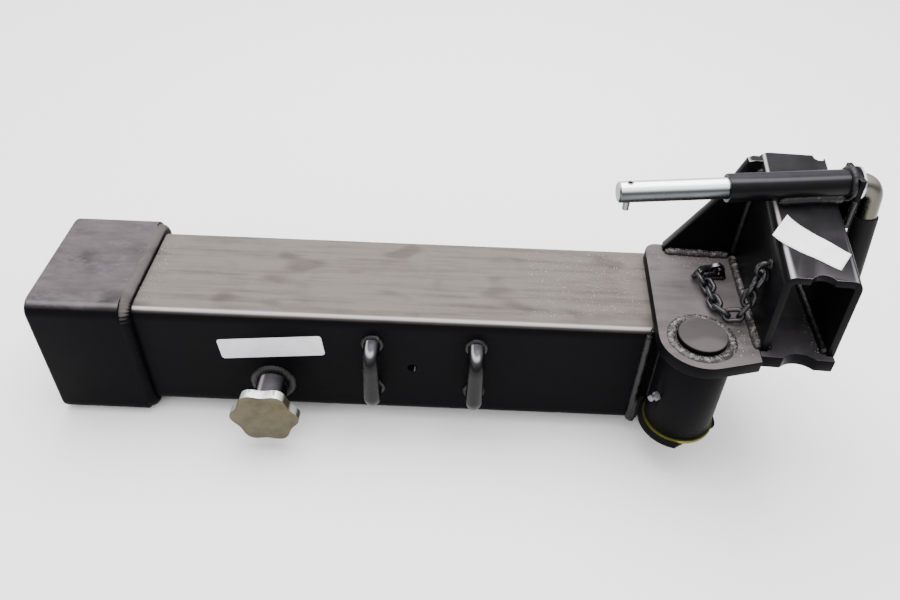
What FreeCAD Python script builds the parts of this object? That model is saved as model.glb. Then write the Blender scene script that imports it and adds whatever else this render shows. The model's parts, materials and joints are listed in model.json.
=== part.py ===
import FreeCAD, Part
import math
import os
from FreeCAD import Placement, Rotation, Vector

# Left-hand pivoting end of a tow-truck wheel-lift crossbar, in millimetres.
# A square tube slides over the crossbar and is held by a spring plunger. At its other end a
# vertical pivot carries a swivel head with a pocket for a 2 x 3 inch arm and a sliding lock rod.
# Origin: centre of the tube's open mouth. +X along the tube, +Y to the back, +Z up.

# ---- driving dimensions: tube and collar ----
TUBE_SIDE = 127.0
TUBE_WALL = 6.35
TUBE_CORNER = 12.7
TUBE_LENGTH = 634.0
COLLAR_LENGTH = 88.0
COLLAR_WALL = 9.5
COLLAR_CORNER = 15.0
COLLAR_ROUND = 4.0
COLLAR_GAP = 0.1
END_CAP = 6.35

# ---- driving dimensions: pivot ----
PIVOT_X = 620.0
PIVOT_Y = -84.9
PIN_D = 44.45
BARREL_D = 63.5
BARREL_BORE = 50.8
BARREL_LENGTH = 88.9
BUSHING_LENGTH = 32.0
PIN_PLAY = 0.05
SADDLE_R = 44.0
SADDLE_LOW_R = 40.0
DISC_R = 37.0
DISC_THICK = 5.0
DISC_FLAT = 26.5
DISC_FLAT_ANGLE = -57.0
LOWER_WASHER_R = 33.5
LOWER_WASHER_THICK = 3.1
UPPER_WASHER_R = 31.0
UPPER_WASHER_THICK = 2.0
FACE_GAP = 0.3

# ---- driving dimensions: swivel head, in its own frame at the pivot on the plate's top ----
HEAD_ANGLE = -3.0
PLATE = 12.7
PLATE_R = 38.1
PLATE_BACK = 136.0
PLATE_RIGHT = 49.0
PLATE_CORNER = 12.0
PLATE_SLOPE = 17.7
PIN_PROUD = 5.0
ARM_LEFT = 49.0
ARM_WIDTH = 64.0
ARM_WALL = 6.35
ARM_BEND = 9.5
ARM_FRONT = -11.0
ARM_LEAN = 5.0
ARM_BACK = 144.0
ARM_FRONT_HEIGHT = 81.0
ARM_BACK_HEIGHT = 109.0
FLOOR_FRONT = -17.4
GUSSET = 9.5
GUSSET_FRONT = 124.0

# ---- driving dimensions: lock rod ----
ROD_D = 19.05
SLEEVE_D = 25.4
SLEEVE_LENGTH = 110.0
SLEEVE_MID = Vector(61.5, 84.1, 111.6)
SLEEVE_SKEW = 7.9
SLEEVE_RISE = 2.0
ROD_OUT = 151.0
BEND_R = 15.0
HANDLE_AT = 77.7
HANDLE_LEAN = 8.4
HANDLE_LENGTH = 98.0
GRIP_D = 22.4
GRIP_LENGTH = 68.0
GRIP_END = 2.5
STOP_PLATE = 4.8
STOP_WIDTH = 31.0
STOP_UP = 11.7
STOP_DOWN = 37.6
ROD_WASHER_D = 30.0
ROD_WASHER_THICK = 2.0
ROLL_PIN_D = 6.0
ROLL_PIN_IN = 9.7

# ---- driving dimensions: plunger and loops on the front face ----
PLUNGER_X = 220.0
PLUNGER_Z = -26.0
HOUSING_D = 31.75
HOUSING_OUT = 98.0
NOSE_D = 19.05
NOSE_TIP = -41.0
NOSE_END = -68.0
STEM_D = 12.7
CAP_INNER = -93.0
KNOB_BACK = -102.0
KNOB_THICK = 9.5
KNOB_R = 31.0
KNOB_WAVE = 2.3
KNOB_LOBES = 6
SPRING_D = 16.4
SPRING_WIRE = 1.4
SPRING_COILS = 5
LOOP_X = (321.0, 420.5)
LOOP_Z = 3.4
LOOP_BAR = 15.9
LOOP_HEIGHT = 76.0
LOOP_DEPTH = 30.0
LOOP_BEND = 12.0
HOLE_X = 359.0
HOLE_Z = 2.0
HOLE_D = 9.5
LABEL_SIZE = (101.6, 25.4)
LABEL_MID = (223.0, 22.6)
LABEL_TURN = 5.8
LABEL_THICK = 0.25
NIPPLE_Z = 15.0
NIPPLE_ANGLE = -155.0

# ---- driving dimensions: safety chain ----
LINK_WIRE = 4.4
LINK_LENGTH = 21.0
LINK_WIDTH = 14.0
LINK_PLAY = 0.8
LUG_Y = 87.0
LUG_THICK = 4.8
LUG_EYE = Vector(26.0, LUG_Y, 8.5)
LINK_REACH = LINK_LENGTH / 2 - LINK_WIRE / 2
STAPLE = Vector(ARM_LEFT, 31.0, 58.0)
STAPLE_OUT = 10.0
STAPLE_HALF = 7.0
STAPLE_WIRE = 4.4

HALF = TUBE_SIDE / 2.0
INNER_HALF = HALF - TUBE_WALL
BARREL_TOP = HALF
BARREL_BOTTOM = BARREL_TOP - BARREL_LENGTH
PLATE_TOP = BARREL_TOP + UPPER_WASHER_THICK + FACE_GAP + PLATE
WASHER_TOP = BARREL_BOTTOM - FACE_GAP
DISC_TOP = WASHER_TOP - LOWER_WASHER_THICK
DISC_BOTTOM = DISC_TOP - DISC_THICK
UP = Vector(0, 0, 1)
FRONT = Vector(0, -1, 0)

os.makedirs("parts", exist_ok=True)


# ---- small helpers ----
def save(name, shape):
    shape.exportStep("parts/" + name + ".step")


def box(x0, x1, y0, y1, z0, z1):
    return Part.makeBox(x1 - x0, y1 - y0, z1 - z0, Vector(x0, y0, z0))


def rod(radius, start, end):
    axis = end - start
    return Part.makeCylinder(radius, axis.Length, start, axis)


def tube(outer, inner, start, end):
    return rod(outer, start, end).cut(rod(inner, start, end))


def prism(points, thickness, direction=UP):
    wire = Part.makePolygon(points + [points[0]])
    return Part.Face(wire).extrude(direction * thickness)


def rounded_bar(side, corner, x0, x1):
    """Square bar along X with round long edges."""
    bar = box(x0, x1, -side / 2, side / 2, -side / 2, side / 2)
    long_edges = [e for e in bar.Edges if abs(e.BoundBox.XLength - (x1 - x0)) < 0.01]
    return bar.makeFillet(corner, long_edges)


def at_pivot(z):
    return Vector(PIVOT_X, PIVOT_Y, z)


def on_head(shape):
    """Move a shape from the head's own frame to its resting place on the pivot."""
    placed = shape.copy()
    turn = Rotation(UP, HEAD_ANGLE)
    placed.Placement = Placement(at_pivot(PLATE_TOP), turn).multiply(placed.Placement)
    return placed


def swept_bar(points, bend, radius):
    """Round bar along straight runs in one plane, joined by bends of one radius."""
    edges = []
    start = points[0]
    for before, corner, after in zip(points, points[1:], points[2:]):
        into = (corner - before).normalize()
        out = (after - corner).normalize()
        half_turn = into.getAngle(out) / 2
        reach = bend * math.tan(half_turn)
        a = corner - into * reach
        b = corner + out * reach
        inward = (out - into).normalize()
        middle = corner + inward * (bend / math.cos(half_turn) - bend)
        edges.append(Part.LineSegment(start, a).toShape())
        edges.append(Part.Arc(a, middle, b).toShape())
        start = b
    edges.append(Part.LineSegment(start, points[-1]).toShape())
    path = Part.Wire(edges)
    first = (points[1] - points[0]).normalize()
    profile = Part.Wire(Part.makeCircle(radius, points[0], first))
    return path.makePipeShell([profile], True, False)


def hexagon(flats, start, length, axis=UP):
    corner = flats / math.sqrt(3)
    points = [Vector(corner * math.cos(math.radians(60 * i)), corner * math.sin(math.radians(60 * i)), 0)
              for i in range(6)]
    nut = prism(points, length)
    nut.Placement = Placement(start, Rotation(UP, axis))
    return nut


# ---- tube, collar and the closed end ----
def main_tube():
    outer = rounded_bar(TUBE_SIDE, TUBE_CORNER, 0, TUBE_LENGTH)
    inner = rounded_bar(TUBE_SIDE - 2 * TUBE_WALL, TUBE_CORNER - TUBE_WALL, -1, TUBE_LENGTH + 1)
    pocket = rod(SADDLE_R, at_pivot(-HALF - 1), at_pivot(HALF + 1))
    plunger_hole = rod(HOUSING_D / 2, Vector(PLUNGER_X, -HALF - 1, PLUNGER_Z),
                       Vector(PLUNGER_X, 0, PLUNGER_Z))
    pin_hole = rod(HOLE_D / 2, Vector(HOLE_X, -HALF - 1, HOLE_Z), Vector(HOLE_X, 0, HOLE_Z))
    return outer.cut(inner).cut(pocket).cut(plunger_hole).cut(pin_hole)


def end_collar():
    outer_side = TUBE_SIDE + 2 * COLLAR_WALL
    inner_side = TUBE_SIDE + 2 * COLLAR_GAP
    outer = rounded_bar(outer_side, COLLAR_CORNER, 0, COLLAR_LENGTH)
    mouth_edges = [e for e in outer.Edges if e.BoundBox.XMax < 0.01]
    outer = outer.makeFillet(COLLAR_ROUND, mouth_edges)
    inner = rounded_bar(inner_side, TUBE_CORNER + COLLAR_GAP, -1, COLLAR_LENGTH + 1)
    return outer.cut(inner)


def end_cap():
    plate = rounded_bar(TUBE_SIDE, TUBE_CORNER, TUBE_LENGTH, TUBE_LENGTH + END_CAP)
    return plate.cut(rod(SADDLE_R, at_pivot(-HALF - 1), at_pivot(HALF + 1)))


def pivot_saddle():
    """Curved liner that closes the notch in the tube's corner and holds the barrel."""
    block = rod(SADDLE_R, at_pivot(-HALF), at_pivot(HALF))
    block = block.cut(rod(BARREL_D / 2, at_pivot(-HALF), at_pivot(HALF)))
    block = block.cut(rod(SADDLE_LOW_R, at_pivot(-HALF), at_pivot(BARREL_BOTTOM)))
    inside = box(PIVOT_X - SADDLE_R - 1, TUBE_LENGTH + END_CAP, -HALF, HALF, -HALF, HALF)
    return block.common(inside)


# ---- pivot barrel, bushings, washers, pin and retainer ----
def pivot_barrel():
    barrel = tube(BARREL_D / 2, BARREL_BORE / 2, at_pivot(BARREL_BOTTOM), at_pivot(BARREL_TOP))
    return barrel.cut(nipple_bore())


def nipple_direction():
    angle = math.radians(NIPPLE_ANGLE)
    return Vector(math.cos(angle), math.sin(angle), 0)


def nipple_bore():
    start = at_pivot(NIPPLE_Z)
    return rod(3.0, start, start + nipple_direction() * BARREL_D)


def grease_nipple():
    away = nipple_direction()
    inner = at_pivot(NIPPLE_Z) + away * (BARREL_BORE / 2 + 0.5)
    face = at_pivot(NIPPLE_Z) + away * (BARREL_D / 2 + 0.2)
    shank = rod(3.0, inner, face)
    collar = hexagon(8.0, face, 3.0, away)
    neck = rod(2.4, face + away * 3.0, face + away * 7.0)
    ball = rod(3.2, face + away * 6.5, face + away * 9.5)
    ball = ball.makeChamfer(0.8, [e for e in ball.Edges if e.Curve.TypeId == "Part::GeomCircle"])
    return shank.fuse(collar).fuse(neck).fuse(ball).removeSplitter()


def pivot_bushing(bottom):
    inner = PIN_D / 2 + PIN_PLAY
    return tube(BARREL_BORE / 2, inner, at_pivot(bottom), at_pivot(bottom + BUSHING_LENGTH))


def upper_washer():
    return tube(UPPER_WASHER_R, PIN_D / 2 + FACE_GAP, at_pivot(BARREL_TOP),
                at_pivot(BARREL_TOP + UPPER_WASHER_THICK))


def lower_washer():
    return tube(LOWER_WASHER_R, PIN_D / 2 + FACE_GAP, at_pivot(DISC_TOP), at_pivot(WASHER_TOP))


def pivot_pin():
    shaft = rod(PIN_D / 2, at_pivot(DISC_TOP), at_pivot(PLATE_TOP + PIN_PROUD))
    shaft = shaft.makeChamfer(1.0, [e for e in shaft.Edges if e.BoundBox.ZLength < 0.01])
    return shaft.cut(rod(6.0, at_pivot(DISC_TOP - 1), at_pivot(DISC_TOP + 30.0)))


def retainer_disc():
    disc = rod(DISC_R, at_pivot(DISC_BOTTOM), at_pivot(DISC_TOP))
    disc = disc.cut(rod(6.6, at_pivot(DISC_BOTTOM), at_pivot(DISC_TOP)))
    cutter = box(DISC_FLAT, 2 * DISC_R, -DISC_R, DISC_R, -1, DISC_THICK + 1)
    cutter.Placement = Placement(at_pivot(DISC_BOTTOM), Rotation(UP, DISC_FLAT_ANGLE))
    return disc.cut(cutter)


def retainer_bolt():
    washer = 3.0
    head = 7.5
    under = DISC_BOTTOM - washer
    body = rod(6.0, at_pivot(under), at_pivot(DISC_TOP + 26.0))
    return body.fuse(hexagon(19.0, at_pivot(under - head), head)).removeSplitter()


def retainer_lock_washer():
    ring = tube(10.5, 6.2, at_pivot(DISC_BOTTOM - 3.0), at_pivot(DISC_BOTTOM))
    split = box(PIVOT_X, PIVOT_X + 12, PIVOT_Y - 0.6, PIVOT_Y + 0.6, DISC_BOTTOM - 4, DISC_BOTTOM + 1)
    return ring.cut(split)


# ---- spring plunger on the front face ----
def along_plunger(y):
    return Vector(PLUNGER_X, y, PLUNGER_Z)


def plunger_housing():
    body = rod(HOUSING_D / 2, along_plunger(-INNER_HALF), along_plunger(-HOUSING_OUT))
    body = body.cut(rod(NOSE_D / 2 + PIN_PLAY, along_plunger(-INNER_HALF), along_plunger(CAP_INNER)))
    return body.cut(rod(STEM_D / 2 + PIN_PLAY, along_plunger(CAP_INNER), along_plunger(-HOUSING_OUT)))


def plunger_pin():
    nose = rod(NOSE_D / 2, along_plunger(NOSE_END), along_plunger(NOSE_TIP))
    tip_edges = [e for e in nose.Edges if e.BoundBox.YLength < 0.01 and e.BoundBox.YMax > NOSE_TIP - 1]
    nose = nose.makeChamfer(2.0, tip_edges)
    stem = rod(STEM_D / 2, along_plunger(KNOB_BACK - KNOB_THICK + 1.0), along_plunger(NOSE_END))
    return nose.fuse(stem).removeSplitter()


def plunger_spring():
    length = NOSE_END - CAP_INNER
    pitch = (length - SPRING_WIRE) / SPRING_COILS
    radius = (SPRING_D - SPRING_WIRE) / 2 + 0.4
    helix = Part.makeHelix(pitch, pitch * SPRING_COILS, radius)
    profile = Part.Wire(Part.makeCircle(SPRING_WIRE / 2, Vector(radius, 0, 0), FRONT))
    coil = Part.Wire(helix).makePipeShell([profile], True, True)
    coil.Placement = Placement(along_plunger(NOSE_END - SPRING_WIRE / 2), Rotation(UP, FRONT))
    return coil


def plunger_knob():
    """Flat knob whose rim waves in and out round six soft lobes."""
    steps = 60
    rim = []
    for i in range(steps):
        angle = 2 * math.pi * i / steps
        reach = KNOB_R + KNOB_WAVE * math.cos(KNOB_LOBES * angle)
        rim.append(along_plunger(KNOB_BACK) + Vector(math.cos(angle), 0, math.sin(angle)) * reach)
    outline = Part.BSplineCurve()
    outline.interpolate(rim, PeriodicFlag=True)
    knob = Part.Face(Part.Wire(outline.toShape())).extrude(FRONT * KNOB_THICK)
    return knob.cut(rod(STEM_D / 2, along_plunger(KNOB_BACK), along_plunger(KNOB_BACK - KNOB_THICK + 1.0)))


# ---- chain loops and label on the front face ----
def chain_loop(x):
    half = (LOOP_HEIGHT - LOOP_BAR) / 2
    web = -HALF - LOOP_DEPTH + LOOP_BAR / 2
    points = [Vector(x, -HALF, LOOP_Z + half), Vector(x, web, LOOP_Z + half),
              Vector(x, web, LOOP_Z - half), Vector(x, -HALF, LOOP_Z - half)]
    return swept_bar(points, LOOP_BEND, LOOP_BAR / 2)


def part_label():
    length, height = LABEL_SIZE
    sheet = box(-length / 2, length / 2, -LABEL_THICK, 0, -height / 2, height / 2)
    sheet.Placement = Placement(Vector(LABEL_MID[0], -HALF, LABEL_MID[1]), Rotation(FRONT, LABEL_TURN))
    return sheet


# ---- swivel head ----
def swivel_plate():
    slope = math.radians(PLATE_SLOPE)
    touch = Vector(PLATE_R * math.sin(slope), -PLATE_R * math.cos(slope), -PLATE)
    run = (PLATE_RIGHT - touch.x) / math.cos(slope)
    front_right = touch + Vector(math.cos(slope), math.sin(slope), 0) * run
    left = Vector(-PLATE_R, 0, -PLATE)
    arc_middle = Vector(-PLATE_R * math.cos(math.pi / 4), -PLATE_R * math.sin(math.pi / 4), -PLATE)
    c = PLATE_CORNER
    side_end = Vector(-PLATE_R, PLATE_BACK - c, -PLATE)
    corner_middle = Vector(-PLATE_R + c * (1 - math.sqrt(0.5)), PLATE_BACK - c * (1 - math.sqrt(0.5)), -PLATE)
    back_start = Vector(-PLATE_R + c, PLATE_BACK, -PLATE)
    back_right = Vector(PLATE_RIGHT, PLATE_BACK, -PLATE)
    edges = [Part.Arc(left, arc_middle, touch).toShape(),
             Part.LineSegment(touch, front_right).toShape(),
             Part.LineSegment(front_right, back_right).toShape(),
             Part.LineSegment(back_right, back_start).toShape(),
             Part.Arc(back_start, corner_middle, side_end).toShape(),
             Part.LineSegment(side_end, left).toShape()]
    plate = Part.Face(Part.Wire(edges)).extrude(Vector(0, 0, PLATE))
    return on_head(plate.cut(rod(PIN_D / 2, Vector(0, 0, -PLATE - 1), Vector(0, 0, 1))))


def receiver_floor():
    right = ARM_LEFT + ARM_WIDTH
    floor = box(PLATE_RIGHT, right, FLOOR_FRONT, ARM_BACK, -PLATE, 0)
    notch_r = 19.6
    notch_x = 82.5
    notch_y = FLOOR_FRONT - 13.2
    notch = rod(notch_r, Vector(notch_x, notch_y, -PLATE - 1), Vector(notch_x, notch_y, 1))
    return on_head(floor.cut(notch))


def arm_profile(grow):
    """Outline of the receiver in side view; grow below zero gives the inner face of its top."""
    top_front = ARM_FRONT_HEIGHT + grow
    top_back = ARM_BACK_HEIGHT + grow
    return [(ARM_FRONT, 0), (ARM_FRONT + ARM_LEAN, top_front), (ARM_BACK, top_back), (ARM_BACK, 0)]


def receiver_channel():
    right = ARM_LEFT + ARM_WIDTH
    outline = [Vector(ARM_LEFT, y, z) for y, z in arm_profile(0)]
    shell = prism(outline, ARM_WIDTH, Vector(1, 0, 0))
    ridges = [e for e in shell.Edges
              if e.BoundBox.XLength < 0.01 and e.BoundBox.ZMin > ARM_FRONT_HEIGHT - 1]
    shell = shell.makeFillet(ARM_BEND, ridges)
    slope = (ARM_BACK_HEIGHT - ARM_FRONT_HEIGHT) / (ARM_BACK - ARM_FRONT - ARM_LEAN)
    reach = 20.0
    drop = ARM_WALL * math.sqrt(1 + slope * slope)
    front_z = ARM_FRONT_HEIGHT - drop - slope * (reach + ARM_LEAN)
    back_z = ARM_BACK_HEIGHT - drop + slope * reach
    low = -1.0
    inner_outline = [Vector(ARM_LEFT + ARM_WALL, y, z) for y, z in
                     ((ARM_FRONT - reach, low), (ARM_FRONT - reach, front_z),
                      (ARM_BACK + reach, back_z), (ARM_BACK + reach, low))]
    hollow = prism(inner_outline, ARM_WIDTH - 2 * ARM_WALL, Vector(1, 0, 0))
    inner_ridges = [e for e in hollow.Edges if e.BoundBox.XLength < 0.01 and e.BoundBox.ZMax > low + 5
                    and e.BoundBox.YLength > 50]
    hollow = hollow.makeFillet(ARM_BEND - ARM_WALL, inner_ridges)
    front_bite = rod(12.0, Vector(ARM_LEFT + 31.0, ARM_FRONT - 2.0, ARM_FRONT_HEIGHT - 15),
                     Vector(ARM_LEFT + 31.0, ARM_FRONT - 2.0, ARM_FRONT_HEIGHT + 10))
    back_bite = rod(5.5, Vector(right - 9.0, ARM_BACK - 1.0, ARM_BACK_HEIGHT - 15),
                    Vector(right - 9.0, ARM_BACK - 1.0, ARM_BACK_HEIGHT + 10))
    return on_head(shell.cut(hollow).cut(front_bite).cut(back_bite))


def gusset_plate():
    peak = ARM_BACK_HEIGHT + 2.0
    outline = [(-21, 0), (-21, 5), (18.5, 66), (36, peak - 2), (41, peak), (ARM_LEFT, peak), (ARM_LEFT, 0)]
    points = [Vector(x, GUSSET_FRONT, z) for x, z in outline]
    return on_head(prism(points, GUSSET, Vector(0, 1, 0)))


def chain_lug():
    """Small triangular tab that stands on the swivel plate and holds the chain's end."""
    outline = [(12, 0), (36, 0), (32, 12), (27, 16), (20, 13)]
    points = [Vector(x, LUG_Y, z) for x, z in outline]
    lug = prism(points, LUG_THICK, Vector(0, 1, 0))
    return on_head(lug.cut(rod(4.1, LUG_EYE - Vector(0, 1, 0), LUG_EYE + Vector(0, LUG_THICK + 1, 0))))


# ---- lock rod, its sleeve and its handle ----
def rod_axis():
    skew = math.radians(SLEEVE_SKEW)
    rise = math.radians(SLEEVE_RISE)
    return Vector(math.cos(skew) * math.cos(rise), math.sin(skew) * math.cos(rise), math.sin(rise))


def along_rod(distance):
    return SLEEVE_MID + rod_axis() * distance


def rod_sleeve():
    half = SLEEVE_LENGTH / 2
    return on_head(tube(SLEEVE_D / 2, ROD_D / 2 + PIN_PLAY, along_rod(-half), along_rod(half)))


def rod_across():
    """Level direction square to the rod, towards the back."""
    return UP.cross(rod_axis()).normalize()


def rod_down():
    return rod_across().cross(rod_axis()).normalize()


def handle_direction():
    lean = math.radians(HANDLE_LEAN)
    return rod_down() * math.cos(lean) - rod_across() * math.sin(lean)


def handle_point(distance):
    return along_rod(HANDLE_AT) + handle_direction() * distance


def lock_rod():
    bar = swept_bar([along_rod(-ROD_OUT), handle_point(0), handle_point(HANDLE_LENGTH)], BEND_R, ROD_D / 2)
    pin_at = along_rod(-ROD_OUT + ROLL_PIN_IN)
    bar = bar.cut(rod(ROLL_PIN_D / 2, pin_at - UP * ROD_D, pin_at + UP * ROD_D))
    tip = [e for e in bar.Edges if (e.BoundBox.Center - along_rod(-ROD_OUT)).Length < 1.0]
    return on_head(bar.makeChamfer(1.5, tip))


def rod_roll_pin():
    pin_at = along_rod(-ROD_OUT + ROLL_PIN_IN)
    low = pin_at - UP * 18
    high = pin_at + UP * ROD_D / 2
    return on_head(tube(ROLL_PIN_D / 2, ROLL_PIN_D / 2 - 1.2, low, high))


def rod_grip():
    end = handle_point(HANDLE_LENGTH + GRIP_END)
    start = handle_point(HANDLE_LENGTH + GRIP_END - GRIP_LENGTH)
    sheath = rod(GRIP_D / 2, start, end)
    sheath = sheath.makeFillet(2.0, [e for e in sheath.Edges if (e.BoundBox.Center - end).Length < 1.0])
    return on_head(sheath.cut(rod(ROD_D / 2, start, handle_point(HANDLE_LENGTH))))


def rod_stop_plate():
    """Plate across the sleeve's right end, with a hole for the rod."""
    half = STOP_WIDTH / 2
    start = along_rod(SLEEVE_LENGTH / 2)
    corners = [(-half, -STOP_UP), (half, -STOP_UP), (half, STOP_DOWN), (-half, STOP_DOWN)]
    points = [start + rod_across() * u + rod_down() * v for u, v in corners]
    plate = prism(points, STOP_PLATE, rod_axis())
    hole = rod(ROD_D / 2 + 0.4, along_rod(SLEEVE_LENGTH / 2 - 1), along_rod(SLEEVE_LENGTH / 2 + 10))
    return on_head(plate.cut(hole))


def rod_washer():
    """Loose washer on the rod, between the stop plate and the bend."""
    face = SLEEVE_LENGTH / 2 + STOP_PLATE + FACE_GAP
    return on_head(tube(ROD_WASHER_D / 2, ROD_D / 2 + PIN_PLAY, along_rod(face),
                        along_rod(face + ROD_WASHER_THICK)))


# ---- safety chain lying on the plate ----
def chain_link(middle, along, tilt):
    straight = (LINK_LENGTH - LINK_WIDTH) / 2
    r = (LINK_WIDTH - LINK_WIRE) / 2
    a, b = Vector(-straight, r, 0), Vector(straight, r, 0)
    c, d = Vector(straight, -r, 0), Vector(-straight, -r, 0)
    edges = [Part.LineSegment(a, b).toShape(),
             Part.Arc(b, Vector(straight + r, 0, 0), c).toShape(),
             Part.LineSegment(c, d).toShape(),
             Part.Arc(d, Vector(-straight - r, 0, 0), a).toShape()]
    profile = Part.Wire(Part.makeCircle(LINK_WIRE / 2, a, Vector(1, 0, 0)))
    link = Part.Wire(edges).makePipeShell([profile], True, True)
    turn = Rotation(Vector(1, 0, 0), along).multiply(Rotation(Vector(1, 0, 0), tilt))
    link.Placement = Placement(middle, turn)
    return link


def chain_route():
    """The chain's line: from the lug's eye round the plate, then up to the staple on the wall."""
    low = 7.6
    lug_end = Vector(LUG_EYE.x - LINK_REACH, LUG_Y + LUG_THICK / 2, 6.8)
    staple_end = STAPLE + Vector(-5.0, 0, STAPLE_WIRE / 2 + LINK_WIRE / 2 - STAPLE_HALF - LINK_REACH + 0.1)
    return [lug_end, Vector(9, lug_end.y, 6.5), Vector(9, 77, low), Vector(15, 60, low),
            Vector(15, 43, low), Vector(20, 31, low), Vector(31, 24, low + 1), Vector(39, 27, low + 5),
            Vector(41, 31, 24), Vector(41, 31, 35.5), staple_end]


def safety_chain():
    points = chain_route()
    runs = [(b - a).Length for a, b in zip(points, points[1:])]
    pitch = LINK_LENGTH - 2 * LINK_WIRE - LINK_PLAY
    count = round(sum(runs) / pitch)
    spacing = sum(runs) / count
    links = []
    for i in range(count + 1):
        distance = min(i * spacing, sum(runs) - 0.001)
        leg = 0
        while distance > runs[leg]:
            distance -= runs[leg]
            leg += 1
        direction = (points[leg + 1] - points[leg]).normalize()
        tilt = 45 if i % 2 else -45
        if i in (0, count):
            tilt = 0
        links.append(chain_link(points[leg] + direction * distance, direction, tilt))
    return on_head(Part.makeCompound(links))


def chain_staple():
    """U-shaped wire staple on the receiver's left wall, where the chain's other end hangs."""
    out = Vector(-STAPLE_OUT, 0, 0)
    half = Vector(0, 0, STAPLE_HALF)
    points = [STAPLE + half, STAPLE + half + out, STAPLE - half + out, STAPLE - half]
    return on_head(swept_bar(points, STAPLE_HALF - 1.5, STAPLE_WIRE / 2))


def build():
    save("main_tube", main_tube())
    save("end_collar", end_collar())
    save("end_cap", end_cap())
    save("pivot_saddle", pivot_saddle())
    save("pivot_barrel", pivot_barrel())
    save("upper_bushing", pivot_bushing(BARREL_TOP - BUSHING_LENGTH))
    save("lower_bushing", pivot_bushing(BARREL_BOTTOM))
    save("grease_nipple", grease_nipple())
    save("upper_thrust_washer", upper_washer())
    save("lower_thrust_washer", lower_washer())
    save("pivot_pin", pivot_pin())
    save("retainer_disc", retainer_disc())
    save("retainer_bolt", retainer_bolt())
    save("retainer_lock_washer", retainer_lock_washer())
    save("plunger_housing", plunger_housing())
    save("plunger_pin", plunger_pin())
    save("plunger_spring", plunger_spring())
    save("plunger_knob", plunger_knob())
    save("chain_loop_left", chain_loop(LOOP_X[0]))
    save("chain_loop_right", chain_loop(LOOP_X[1]))
    save("part_label", part_label())
    save("swivel_plate", swivel_plate())
    save("receiver_floor", receiver_floor())
    save("receiver_channel", receiver_channel())
    save("gusset_plate", gusset_plate())
    save("chain_lug", chain_lug())
    save("chain_staple", chain_staple())
    save("rod_sleeve", rod_sleeve())
    save("rod_stop_plate", rod_stop_plate())
    save("rod_washer", rod_washer())
    save("lock_rod", lock_rod())
    save("rod_roll_pin", rod_roll_pin())
    save("rod_grip", rod_grip())
    save("safety_chain", safety_chain())


build()
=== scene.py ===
import json
import math

import bmesh
import bpy
from bpy.props import FloatProperty, FloatVectorProperty, IntProperty, PointerProperty
from mathutils import Matrix, Quaternion, Vector


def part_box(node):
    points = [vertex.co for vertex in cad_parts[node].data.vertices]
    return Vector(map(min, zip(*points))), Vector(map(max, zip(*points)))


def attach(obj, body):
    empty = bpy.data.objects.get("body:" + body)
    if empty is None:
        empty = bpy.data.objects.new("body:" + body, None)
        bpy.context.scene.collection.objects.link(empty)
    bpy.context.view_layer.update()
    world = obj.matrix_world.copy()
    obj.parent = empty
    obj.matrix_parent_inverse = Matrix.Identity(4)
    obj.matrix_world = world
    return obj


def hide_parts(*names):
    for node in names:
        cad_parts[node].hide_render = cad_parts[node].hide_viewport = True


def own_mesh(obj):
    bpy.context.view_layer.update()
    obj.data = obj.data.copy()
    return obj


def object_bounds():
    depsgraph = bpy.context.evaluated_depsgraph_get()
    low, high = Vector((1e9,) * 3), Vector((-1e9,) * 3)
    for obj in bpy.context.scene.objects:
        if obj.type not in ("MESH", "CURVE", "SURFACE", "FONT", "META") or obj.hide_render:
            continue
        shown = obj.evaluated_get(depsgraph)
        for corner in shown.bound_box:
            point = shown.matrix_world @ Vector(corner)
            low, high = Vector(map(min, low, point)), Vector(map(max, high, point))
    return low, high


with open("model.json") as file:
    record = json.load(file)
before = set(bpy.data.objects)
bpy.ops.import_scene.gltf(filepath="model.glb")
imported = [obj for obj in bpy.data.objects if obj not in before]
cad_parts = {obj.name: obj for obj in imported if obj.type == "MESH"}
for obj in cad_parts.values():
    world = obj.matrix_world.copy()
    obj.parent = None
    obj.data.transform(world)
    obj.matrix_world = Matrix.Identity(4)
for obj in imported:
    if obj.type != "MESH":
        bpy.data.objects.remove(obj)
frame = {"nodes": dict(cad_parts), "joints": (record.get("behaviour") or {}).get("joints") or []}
CAD_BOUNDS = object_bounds()

bl_info = {
    "name": "Wheel-lift swivel head",
    "version": (1, 0, 0),
    "blender": (4, 5, 0),
    "location": "View3D > Sidebar > Wheel lift",
    "description": "Dresses the packed swivel head in paint, weld beads, chain and studio light",
    "category": "Object",
}

MM = 0.001
UP = Vector((0.0, 0.0, 1.0))

# The swivel head's own frame: at the pivot, on the plate's top, turned a little to the right.
SWIVEL = next(j for j in frame["joints"] if j["name"] == "head_swivel")
PIVOT = Vector(SWIVEL["pos_m"])
HEAD_TURN = Quaternion(UP, math.radians(-3.0))

# Sizes shared with the solids, in millimetres.
TUBE_HALF = 63.5
TUBE_CORNER = 12.7
COLLAR_END = 88.0
TUBE_END = 634.0
NOTCH_R = 44.0
BARREL_R = 31.75
PLUNGER = (220.0, -26.0)
LOOP_X = (321.0, 420.5)
LOOP_Z = 3.4
LOOP_REACH = 30.05
WALL_LEFT = 49.0
WALL_RIGHT = 113.0
WALL = 6.35
GUSSET_FRONT = 124.0
SLEEVE_MID = Vector((61.5, 84.1, 111.6))
SLEEVE_SKEW = math.radians(7.9)
SLEEVE_RISE = math.radians(2.0)
TOP_SLOPE = 0.1867
FILM = 0.2

# Colours that several finishes share, or that stand for one kind of wear or of painted highlight.
PAINT_BLACK = "#08080a"
RUBBED_METAL = "#5d585d"
PAINTED_RIM_HIGHLIGHT = "#b5b1b3"
HEAT_STRAW = "#5c594f"


# ---- small helpers ----
def head(x, y, z):
    """A point of the head's own frame, in millimetres, as a frame point in metres."""
    return PIVOT + HEAD_TURN @ (Vector((x, y, z)) * MM)


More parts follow.
